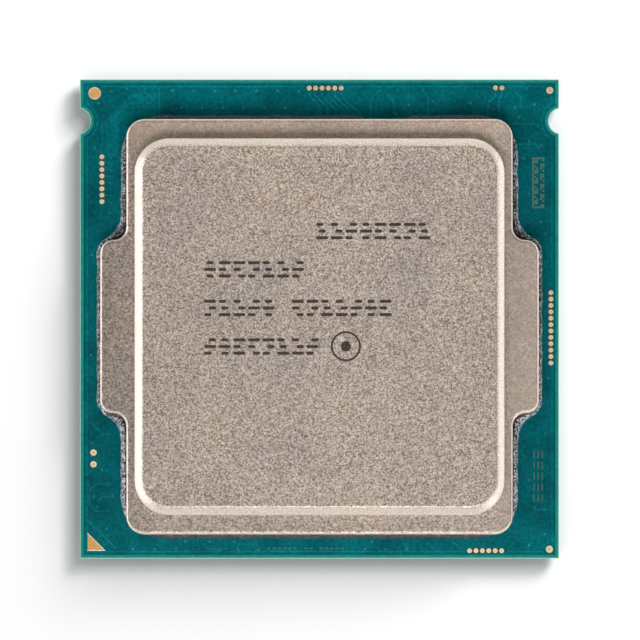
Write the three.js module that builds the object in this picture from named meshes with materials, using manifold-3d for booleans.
// A desktop processor in a land grid array package: a nickel-plated copper lid glued
// over a silicon die, on a laminated substrate with gold lands and capacitors below.
// Millimetres, +Z up. The origin is centred under the package, on the plane of the
// capacitors' lower faces, which are the lowest faces of the part.
import * as THREE from 'three';
import { mergeVertices } from 'three/addons/utils/BufferGeometryUtils.js';
import Module from 'manifold-3d';

const wasm = await Module();
wasm.setup();

// Heights, from the lowest face up.
const CAPACITOR_DROP = 0.5;
const LANDS_TO_LID_TOP = 4.38;
const LAND_THICKNESS = 0.02;
const MASK_THICKNESS = 0.02;
const BUILDUP_THICKNESS = 0.17;
const CORE_THICKNESS = 0.4;
const BOND_LINE = 0.15;
const FLANGE_THICKNESS = 1.7;
const BUMP_HEIGHT = 0.08;
const DIE_THICKNESS = 0.75;
const PASTE_THICKNESS = 0.1;

const BOTTOM_MASK_BASE = CAPACITOR_DROP + LAND_THICKNESS;
const BOTTOM_BUILDUP_BASE = BOTTOM_MASK_BASE + MASK_THICKNESS;
const CORE_BASE = BOTTOM_BUILDUP_BASE + BUILDUP_THICKNESS;
const TOP_BUILDUP_BASE = CORE_BASE + CORE_THICKNESS;
const TOP_MASK_BASE = TOP_BUILDUP_BASE + BUILDUP_THICKNESS;
const SUBSTRATE_TOP = TOP_MASK_BASE + MASK_THICKNESS;
const FLANGE_BASE = SUBSTRATE_TOP + BOND_LINE;
const FLANGE_TOP = FLANGE_BASE + FLANGE_THICKNESS;
const LID_TOP = CAPACITOR_DROP + LANDS_TO_LID_TOP;
const DIE_BASE = SUBSTRATE_TOP + BUMP_HEIGHT;
const PASTE_BASE = DIE_BASE + DIE_THICKNESS;
const CAVITY_ROOF = PASTE_BASE + PASTE_THICKNESS;

// Substrate, with a half-round key notch in its left and right edges.
const SUBSTRATE_SIDE = 37.5;
const NOTCH_RADIUS = 1.02;
const NOTCH_CENTRE_OUTSIDE_EDGE = 0.2;
const NOTCH_Y = 15.5;
const MASK_MARGIN = 0.28;
const PAD_CLEARANCE = 0.04;

// Lid: a flange with an ear on each side, and a raised plateau. Its centre is a little
// below the middle of the substrate.
const LID_CENTRE_Y = -0.6;
const FLANGE_WIDTH = 30.1;
const FLANGE_LENGTH = 32.35;
const FLANGE_CORNER_RADIUS = 1.45;
const FLANGE_EDGE_ROUNDING = 0.2;
const EAR_SPAN = 34.15;
const EAR_LENGTH = 13.55;
const EAR_CONVEX_RADIUS = 1.05;
const EAR_CONCAVE_RADIUS = 0.95;
const PLATEAU_WIDTH = 28.8;
const PLATEAU_LENGTH = 29.3;
const PLATEAU_CORNER_RADIUS = 2.75;
const PLATEAU_SHOULDER_WIDTH = 0.8;
const PLATEAU_SHOULDER_DEPTH = 0.6;
const PLATEAU_BURIED = 0.8;
const CAVITY_WIDTH = 24.6;
const CAVITY_LENGTH = 26.8;
const CAVITY_CORNER_RADIUS = 2.5;

// Sealant bead, squeezed out past the flange, most of all on its lower side. A vent gap
// in its upper side lets the cavity breathe.
const BEAD_SQUEEZE_OUT = 0.4;
const BEAD_SHIFT_Y = -0.13;
const BEAD_CORNER_RADIUS = 3.2;
const BEAD_WEB = 1.2;
const BEAD_WIDTH_UNDER_FLANGE = 1.6;
const VENT_WIDTH = 2.8;
const VENT_X = 5;

// Die, with its bumps, underfill and thermal paste.
const DIE_WIDTH = 9.2;
const DIE_LENGTH = 13.3;
const BUMP_FIELD_MARGIN = 0.1;
const UNDERFILL_REACH = 0.8;
const UNDERFILL_HEIGHT = 0.4;
const UNDERFILL_TOP_REACH = 0.2;
const PASTE_OVERHANG = 0.4;
const PASTE_CORNER_RADIUS = 1;

// Gold pads on the top face.
const FIDUCIAL_TOP_LEFT = { x: -17.6, y: 17.67, diameter: 1.04 };
const FIDUCIAL_TOP_RIGHT = { x: 18.03, y: 17.9, diameter: 0.61 };
const FIDUCIAL_BOTTOM_RIGHT = { x: 18, y: -18.03, diameter: 0.61 };
const PROBE_PAD_UPPER = { x: -17.69, y: -10.46, diameter: 0.56 };
const PROBE_PAD_LOWER = { x: -17.69, y: -11.38, diameter: 0.56 };
const PIN_1_CORNER = { x: -18.24, y: -18.14 };
const PIN_1_LEG = 1.5;
const ROW_PITCH = 0.5;
const ROW_PAD_DIAMETER = 0.44;
const ROW_STRIP_WIDTH = 0.2;
const TEST_PAD_ROWS = [
  { name: 'test_pad_row_left', x: -17.03, y: 10.94, count: 8, vertical: true },
  { name: 'test_pad_row_top', x: 0.45, y: 18.08, count: 6, vertical: false },
  { name: 'test_pad_row_top_right', x: 14.03, y: 18.09, count: 2, vertical: false },
  { name: 'test_pad_row_right', x: 18.12, y: -0.69, count: 12, vertical: true },
  { name: 'test_pad_row_bottom', x: 13, y: -18.14, count: 6, vertical: false },
];

// Lands: a staggered field with an open middle and cut corners.
const LAND_COLUMNS = 40;
const LAND_ROWS = 40;
const LAND_PITCH_X = 0.7919;
const LAND_PITCH_Y = 0.9144;
const LAND_WIDTH = 0.56;
const LAND_LENGTH = 0.74;
const COLUMN_STAGGER = 0.5;
const OPEN_COLUMNS = 24;
const OPEN_ROWS = 17;
const CORNER_SITES_CUT = 4;

// Ceramic capacitors in the open middle of the lands, in columns and rows.
const CAPACITOR_WIDTH = 0.5;
const CAPACITOR_LENGTH = 1;
const CAPACITOR_EDGE_ROUNDING = 0.04;
const CAPACITOR_COLUMNS = [-7.5, -4.5, -1.5, 1.5, 4.5, 7.5];
const CAPACITOR_ROWS = [5.4, 1.8, -1.8, -5.4];

// Each arc of an outline is drawn in twice this many steps.
const ARC_STEPS = 4;
const CIRCLE_STEPS = 10;
const ROW_PAD_STEPS = 6;

// Points of a geometry that are closer than this are one corner of its solid.
const WELD_DISTANCE = 1e-5;

const FINISHES = {
  nickel: { color: 0xaa9c8e, roughness: 0.45, metalness: 1 },
  sealant: { color: 0x3c3233, roughness: 0.35, metalness: 0 },
  solderMask: { color: 0x00666c, roughness: 0.35, metalness: 0 },
  laminate: { color: 0x1c8c84, roughness: 0.6, metalness: 0 },
  core: { color: 0x6f9a63, roughness: 0.7, metalness: 0 },
  gold: { color: 0xdcb878, roughness: 0.35, metalness: 1 },
  silicon: { color: 0x4c5158, roughness: 0.15, metalness: 0.4 },
  solder: { color: 0xb4b6b8, roughness: 0.4, metalness: 1 },
  underfill: { color: 0x2a2622, roughness: 0.5, metalness: 0 },
  paste: { color: 0x8f9194, roughness: 0.8, metalness: 0 },
  capacitor: { color: 0x8c6a4c, roughness: 0.5, metalness: 0 },
};

const part = new THREE.Group();

function addPart(name, geometry, finish, x = 0, y = 0, z = 0) {
  const mesh = new THREE.Mesh(geometry, new THREE.MeshStandardMaterial(FINISHES[finish]));
  mesh.name = name;
  mesh.position.set(x, y, z);
  part.add(mesh);
}

// Booleans on closed geometries.

function toSolid(geometry) {
  const bare = geometry.clone();
  bare.deleteAttribute('normal');
  bare.deleteAttribute('uv');
  const merged = mergeVertices(bare, WELD_DISTANCE);
  return new wasm.Manifold(new wasm.Mesh({
    numProp: 3,
    vertProperties: new Float32Array(merged.attributes.position.array),
    triVerts: new Uint32Array(merged.index.array),
  }));
}

function toGeometry(solid) {
  const mesh = solid.getMesh();
  const geometry = new THREE.BufferGeometry();
  geometry.setAttribute('position', new THREE.BufferAttribute(mesh.vertProperties, 3));
  geometry.setIndex(new THREE.BufferAttribute(mesh.triVerts, 1));
  geometry.computeVertexNormals();
  return geometry;
}

function join(geometries) {
  const solids = geometries.map(toSolid);
  return toGeometry(solids.reduce((whole, next) => whole.add(next)));
}

function cut(geometry, tools) {
  return toGeometry(tools.map(toSolid).reduce((rest, tool) => rest.subtract(tool), toSolid(geometry)));
}

// Plates and outlines.

function plate(shape, thickness, steps = ARC_STEPS) {
  const options = { depth: thickness, bevelEnabled: false, curveSegments: steps };
  return new THREE.ExtrudeGeometry(shape, options);
}

// A plate whose edges fall by drop over the given width: a chamfer in one segment, rounder in more.
function edgedPlate(shape, thickness, width, drop, segments) {
  const geometry = new THREE.ExtrudeGeometry(shape, {
    depth: thickness - 2 * drop,
    bevelThickness: drop,
    bevelSize: width,
    bevelOffset: -width,
    bevelSegments: segments,
    curveSegments: ARC_STEPS,
  });
  return geometry.translate(0, 0, drop);
}

function roundedRectangle(width, length, radius, Outline = THREE.Shape) {
  const x = width / 2 - radius;
  const y = length / 2 - radius;
  const outline = new Outline();
  outline.moveTo(-x, -y - radius);
  outline.absarc(x, -y, radius, -Math.PI / 2, 0, false);
  outline.absarc(x, y, radius, 0, Math.PI / 2, false);
  outline.absarc(-x, y, radius, Math.PI / 2, Math.PI, false);
  outline.absarc(-x, -y, radius, Math.PI, Math.PI * 1.5, false);
  return outline;
}

function circle(radius, x = 0, y = 0, Outline = THREE.Shape) {
  const outline = new Outline();
  outline.absarc(x, y, radius, 0, Math.PI * 2, false);
  return outline;
}

// The substrate's outline, moved inwards by inset.
function substrateOutline(inset) {
  const half = SUBSTRATE_SIDE / 2 - inset;
  const notchX = SUBSTRATE_SIDE / 2 + NOTCH_CENTRE_OUTSIDE_EDGE;
  const radius = NOTCH_RADIUS + inset;
  const angle = Math.acos((notchX - half) / radius);
  const outline = new THREE.Shape();
  outline.moveTo(-half, -half);
  outline.lineTo(half, -half);
  outline.absarc(notchX, NOTCH_Y, radius, Math.PI + angle, Math.PI - angle, true);
  outline.lineTo(half, half);
  outline.lineTo(-half, half);
  outline.absarc(-notchX, NOTCH_Y, radius, angle, -angle, true);
  return outline;
}

// The lid's outline with its two ears, moved outwards by grow.
function earedOutline(grow, cornerRadius) {
  const halfWidth = FLANGE_WIDTH / 2 + grow;
  const halfLength = FLANGE_LENGTH / 2 + grow;
  const halfSpan = EAR_SPAN / 2 + grow;
  const earHalf = EAR_LENGTH / 2 + grow;
  const convex = EAR_CONVEX_RADIUS + grow;
  const concave = EAR_CONCAVE_RADIUS - grow;
  const outline = new THREE.Shape();
  const quarter = Math.PI / 2;
  for (const side of [0, 1]) {
    const turn = side * Math.PI;
    const sign = side === 0 ? 1 : -1;
    const arc = (x, y, radius, from, to, clockwise) => {
      outline.absarc(sign * x, sign * y, radius, turn + from, turn + to, clockwise);
    };
    arc(halfWidth - cornerRadius, -halfLength + cornerRadius, cornerRadius, -quarter, 0, false);
    arc(halfWidth + concave, -earHalf - concave, concave, Math.PI, quarter, true);
    arc(halfSpan - convex, -earHalf + convex, convex, -quarter, 0, false);
    arc(halfSpan - convex, earHalf - convex, convex, 0, quarter, false);
    arc(halfWidth + concave, earHalf + concave, concave, -quarter, -Math.PI, true);
    arc(halfWidth - cornerRadius, halfLength - cornerRadius, cornerRadius, 0, quarter, false);
  }
  return outline;
}

// Lid.

function lid() {
  const flange = edgedPlate(
    earedOutline(0, FLANGE_CORNER_RADIUS),
    FLANGE_THICKNESS, FLANGE_EDGE_ROUNDING, FLANGE_EDGE_ROUNDING, 2,
  );
  const plateauHeight = LID_TOP - FLANGE_TOP + PLATEAU_BURIED;
  const plateau = edgedPlate(
    roundedRectangle(PLATEAU_WIDTH, PLATEAU_LENGTH, PLATEAU_CORNER_RADIUS),
    plateauHeight, PLATEAU_SHOULDER_WIDTH, PLATEAU_SHOULDER_DEPTH, 1,
  ).translate(0, 0, FLANGE_THICKNESS - PLATEAU_BURIED);
  const depth = CAVITY_ROOF - FLANGE_BASE;
  const cavity = plate(
    roundedRectangle(CAVITY_WIDTH, CAVITY_LENGTH, CAVITY_CORNER_RADIUS), 2 * depth,
  ).translate(0, 0, -depth);
  return cut(join([flange, plateau]), [cavity]);
}

function cornerWebs() {
  const x = FLANGE_WIDTH / 2 + BEAD_SQUEEZE_OUT / 2;
  const y = EAR_LENGTH / 2 + BEAD_SQUEEZE_OUT / 2;
  const webs = [];
  for (const signX of [-1, 1]) {
    for (const signY of [-1, 1]) {
      const web = new THREE.Shape();
      web.moveTo(signX * x, signY * y);
      web.lineTo(signX * (x + BEAD_WEB), signY * y);
      web.lineTo(signX * x, signY * (y + BEAD_WEB));
      webs.push(plate(web, BOND_LINE));
    }
  }
  return webs;
}

function sealantBead() {
  const outer = plate(earedOutline(BEAD_SQUEEZE_OUT, BEAD_CORNER_RADIUS), BOND_LINE);
  const innerWidth = FLANGE_WIDTH - 2 * BEAD_WIDTH_UNDER_FLANGE;
  const innerLength = FLANGE_LENGTH - 2 * BEAD_WIDTH_UNDER_FLANGE;
  const inner = plate(
    roundedRectangle(innerWidth, innerLength, CAVITY_CORNER_RADIUS), 3 * BOND_LINE,
  ).translate(0, 0, -BOND_LINE);
  const ventLength = 3 * (BEAD_WIDTH_UNDER_FLANGE + BEAD_SQUEEZE_OUT);
  const vent = new THREE.BoxGeometry(VENT_WIDTH, ventLength, 3 * BOND_LINE)
    .translate(VENT_X, FLANGE_LENGTH / 2, BOND_LINE / 2);
  return cut(join([outer, ...cornerWebs()]), [inner, vent]);
}

// Die and what surrounds it.

function slab(width, length, height) {
  return new THREE.BoxGeometry(width, length, height).translate(0, 0, height / 2);
}

function underfill() {
  const rounding = UNDERFILL_REACH - UNDERFILL_TOP_REACH;
  const width = DIE_WIDTH + 2 * UNDERFILL_REACH;
  const length = DIE_LENGTH + 2 * UNDERFILL_REACH;
  const fillet = new THREE.ExtrudeGeometry(roundedRectangle(width, length, UNDERFILL_REACH), {
    depth: UNDERFILL_HEIGHT,
    bevelThickness: UNDERFILL_HEIGHT,
    bevelSize: rounding,
    bevelOffset: -rounding,
    bevelSegments: 2,
    curveSegments: ARC_STEPS,
  }).translate(0, 0, -UNDERFILL_HEIGHT);
  const below = slab(2 * width, 2 * length, 2 * UNDERFILL_HEIGHT)
    .translate(0, 0, -2 * UNDERFILL_HEIGHT);
  const die = slab(DIE_WIDTH, DIE_LENGTH, DIE_THICKNESS).translate(0, 0, BUMP_HEIGHT);
  const bumps = bumpField(2 * BUMP_HEIGHT).translate(0, 0, -BUMP_HEIGHT);
  return cut(fillet, [below, die, bumps]);
}

function bumpField(height) {
  return slab(DIE_WIDTH - 2 * BUMP_FIELD_MARGIN, DIE_LENGTH - 2 * BUMP_FIELD_MARGIN, height);
}

// Substrate faces.

function pin1Triangle(grow) {
  // A right triangle keeps its shape when each side moves out by grow.
  const diagonal = grow * (2 + Math.SQRT2);
  const outline = new THREE.Shape();
  outline.moveTo(PIN_1_CORNER.x - grow, PIN_1_CORNER.y - grow);
  outline.lineTo(PIN_1_CORNER.x - grow + PIN_1_LEG + diagonal, PIN_1_CORNER.y - grow);
  outline.lineTo(PIN_1_CORNER.x - grow, PIN_1_CORNER.y - grow + PIN_1_LEG + diagonal);
  return outline;
}

// Half the distance between the centres of a row's first and last pads.
function rowReach(row) {
  return ((row.count - 1) * ROW_PITCH) / 2;
}

function rowOpening(row) {
  const radius = ROW_PAD_DIAMETER / 2 + PAD_CLEARANCE;
  const turn = row.vertical ? Math.PI / 2 : 0;
  const quarter = Math.PI / 2;
  const x = rowReach(row) * Math.cos(turn);
  const y = rowReach(row) * Math.sin(turn);
  const outline = new THREE.Path();
  outline.absarc(row.x + x, row.y + y, radius, turn - quarter, turn + quarter, false);
  outline.absarc(row.x - x, row.y - y, radius, turn + quarter, turn + 3 * quarter, false);
  return outline;
}

function topMask() {
  const outline = substrateOutline(MASK_MARGIN);
  for (const pad of ROUND_PADS) {
    outline.holes.push(circle(pad.at.diameter / 2 + PAD_CLEARANCE, pad.at.x, pad.at.y, THREE.Path));
  }
  for (const row of TEST_PAD_ROWS) {
    outline.holes.push(rowOpening(row));
  }
  outline.holes.push(pin1Triangle(PAD_CLEARANCE));
  return plate(outline, MASK_THICKNESS, CIRCLE_STEPS);
}

function testPadRow(row) {
  const reach = rowReach(row);
  const strip = slab(2 * reach, ROW_STRIP_WIDTH, MASK_THICKNESS);
  const pads = [strip];
  for (let i = 0; i < row.count; i += 1) {
    const disc = circle(ROW_PAD_DIAMETER / 2, i * ROW_PITCH - reach);
    pads.push(plate(disc, MASK_THICKNESS, ROW_PAD_STEPS));
  }
  const geometry = join(pads);
  return row.vertical ? geometry.rotateZ(Math.PI / 2) : geometry;
}

// The field that the lands cover, with its open middle and cut corners.
function landField() {
  const halfWidth = ((LAND_COLUMNS - 1) * LAND_PITCH_X + LAND_WIDTH) / 2;
  const halfLength = ((LAND_ROWS - 1 + COLUMN_STAGGER) * LAND_PITCH_Y + LAND_LENGTH) / 2;
  const cutX = CORNER_SITES_CUT * LAND_PITCH_X;
  const cutY = CORNER_SITES_CUT * LAND_PITCH_Y;
  const field = new THREE.Shape();
  field.moveTo(halfWidth - cutX, -halfLength);
  field.lineTo(halfWidth, -halfLength + cutY);
  field.lineTo(halfWidth, halfLength - cutY);
  field.lineTo(halfWidth - cutX, halfLength);
  field.lineTo(-halfWidth + cutX, halfLength);
  field.lineTo(-halfWidth, halfLength - cutY);
  field.lineTo(-halfWidth, -halfLength + cutY);
  field.lineTo(-halfWidth + cutX, -halfLength);
  const openWidth = (OPEN_COLUMNS + 1) * LAND_PITCH_X - LAND_WIDTH;
  const openLength = (OPEN_ROWS + COLUMN_STAGGER) * LAND_PITCH_Y - LAND_LENGTH;
  field.holes.push(roundedRectangle(openWidth, openLength, LAND_WIDTH / 2, THREE.Path));
  return plate(field, LAND_THICKNESS);
}

// Assembly.

const ROUND_PADS = [
  { name: 'fiducial_top_left', at: FIDUCIAL_TOP_LEFT },
  { name: 'fiducial_top_right', at: FIDUCIAL_TOP_RIGHT },
  { name: 'fiducial_bottom_right', at: FIDUCIAL_BOTTOM_RIGHT },
  { name: 'probe_pad_left_upper', at: PROBE_PAD_UPPER },
  { name: 'probe_pad_left_lower', at: PROBE_PAD_LOWER },
];

function addSubstrate() {
  const laminate = substrateOutline(0);
  addPart('land_array', landField(), 'gold', 0, 0, CAPACITOR_DROP);
  addPart('bottom_solder_mask', plate(substrateOutline(MASK_MARGIN), MASK_THICKNESS),
    'solderMask', 0, 0, BOTTOM_MASK_BASE);
  addPart('bottom_buildup_layer', plate(laminate, BUILDUP_THICKNESS),
    'laminate', 0, 0, BOTTOM_BUILDUP_BASE);
  addPart('substrate_core', plate(laminate, CORE_THICKNESS), 'core', 0, 0, CORE_BASE);
  addPart('top_buildup_layer', plate(laminate, BUILDUP_THICKNESS), 'laminate', 0, 0, TOP_BUILDUP_BASE);
  addPart('top_solder_mask', topMask(), 'solderMask', 0, 0, TOP_MASK_BASE);
}

function addTopPads() {
  for (const { name, at } of ROUND_PADS) {
    const disc = plate(circle(at.diameter / 2), MASK_THICKNESS, CIRCLE_STEPS);
    addPart(name, disc, 'gold', at.x, at.y, TOP_MASK_BASE);
  }
  addPart('pin_1_triangle', plate(pin1Triangle(0), MASK_THICKNESS), 'gold', 0, 0, TOP_MASK_BASE);
  for (const row of TEST_PAD_ROWS) {
    addPart(row.name, testPadRow(row), 'gold', row.x, row.y, TOP_MASK_BASE);
  }
}

function addDie() {
  const y = LID_CENTRE_Y;
  const pasteShape = roundedRectangle(
    DIE_WIDTH + 2 * PASTE_OVERHANG, DIE_LENGTH + 2 * PASTE_OVERHANG, PASTE_CORNER_RADIUS,
  );
  addPart('die_solder_bumps', bumpField(BUMP_HEIGHT), 'solder', 0, y, SUBSTRATE_TOP);
  addPart('silicon_die', slab(DIE_WIDTH, DIE_LENGTH, DIE_THICKNESS), 'silicon', 0, y, DIE_BASE);
  addPart('die_underfill', underfill(), 'underfill', 0, y, SUBSTRATE_TOP);
  addPart('thermal_interface_paste', plate(pasteShape, PASTE_THICKNESS), 'paste', 0, y, PASTE_BASE);
}

function addLid() {
  const beadY = LID_CENTRE_Y + BEAD_SHIFT_Y;
  addPart('lid_sealant_bead', sealantBead(), 'sealant', 0, beadY, SUBSTRATE_TOP);
  addPart('heat_spreader_lid', lid(), 'nickel', 0, LID_CENTRE_Y, FLANGE_BASE);
}

function addCapacitors() {
  const height = CAPACITOR_DROP + LAND_THICKNESS;
  const outline = roundedRectangle(CAPACITOR_WIDTH, CAPACITOR_LENGTH, 2 * CAPACITOR_EDGE_ROUNDING);
  let number = 1;
  for (const y of CAPACITOR_ROWS) {
    for (const x of CAPACITOR_COLUMNS) {
      const name = `land_side_capacitor_${String(number).padStart(2, '0')}`;
      const options = { depth: height, bevelEnabled: false, curveSegments: 1 };
      addPart(name, new THREE.ExtrudeGeometry(outline, options), 'capacitor', x, y, 0);
      number += 1;
    }
  }
}

addSubstrate();
addTopPads();
addDie();
addLid();
addCapacitors();

export default part;
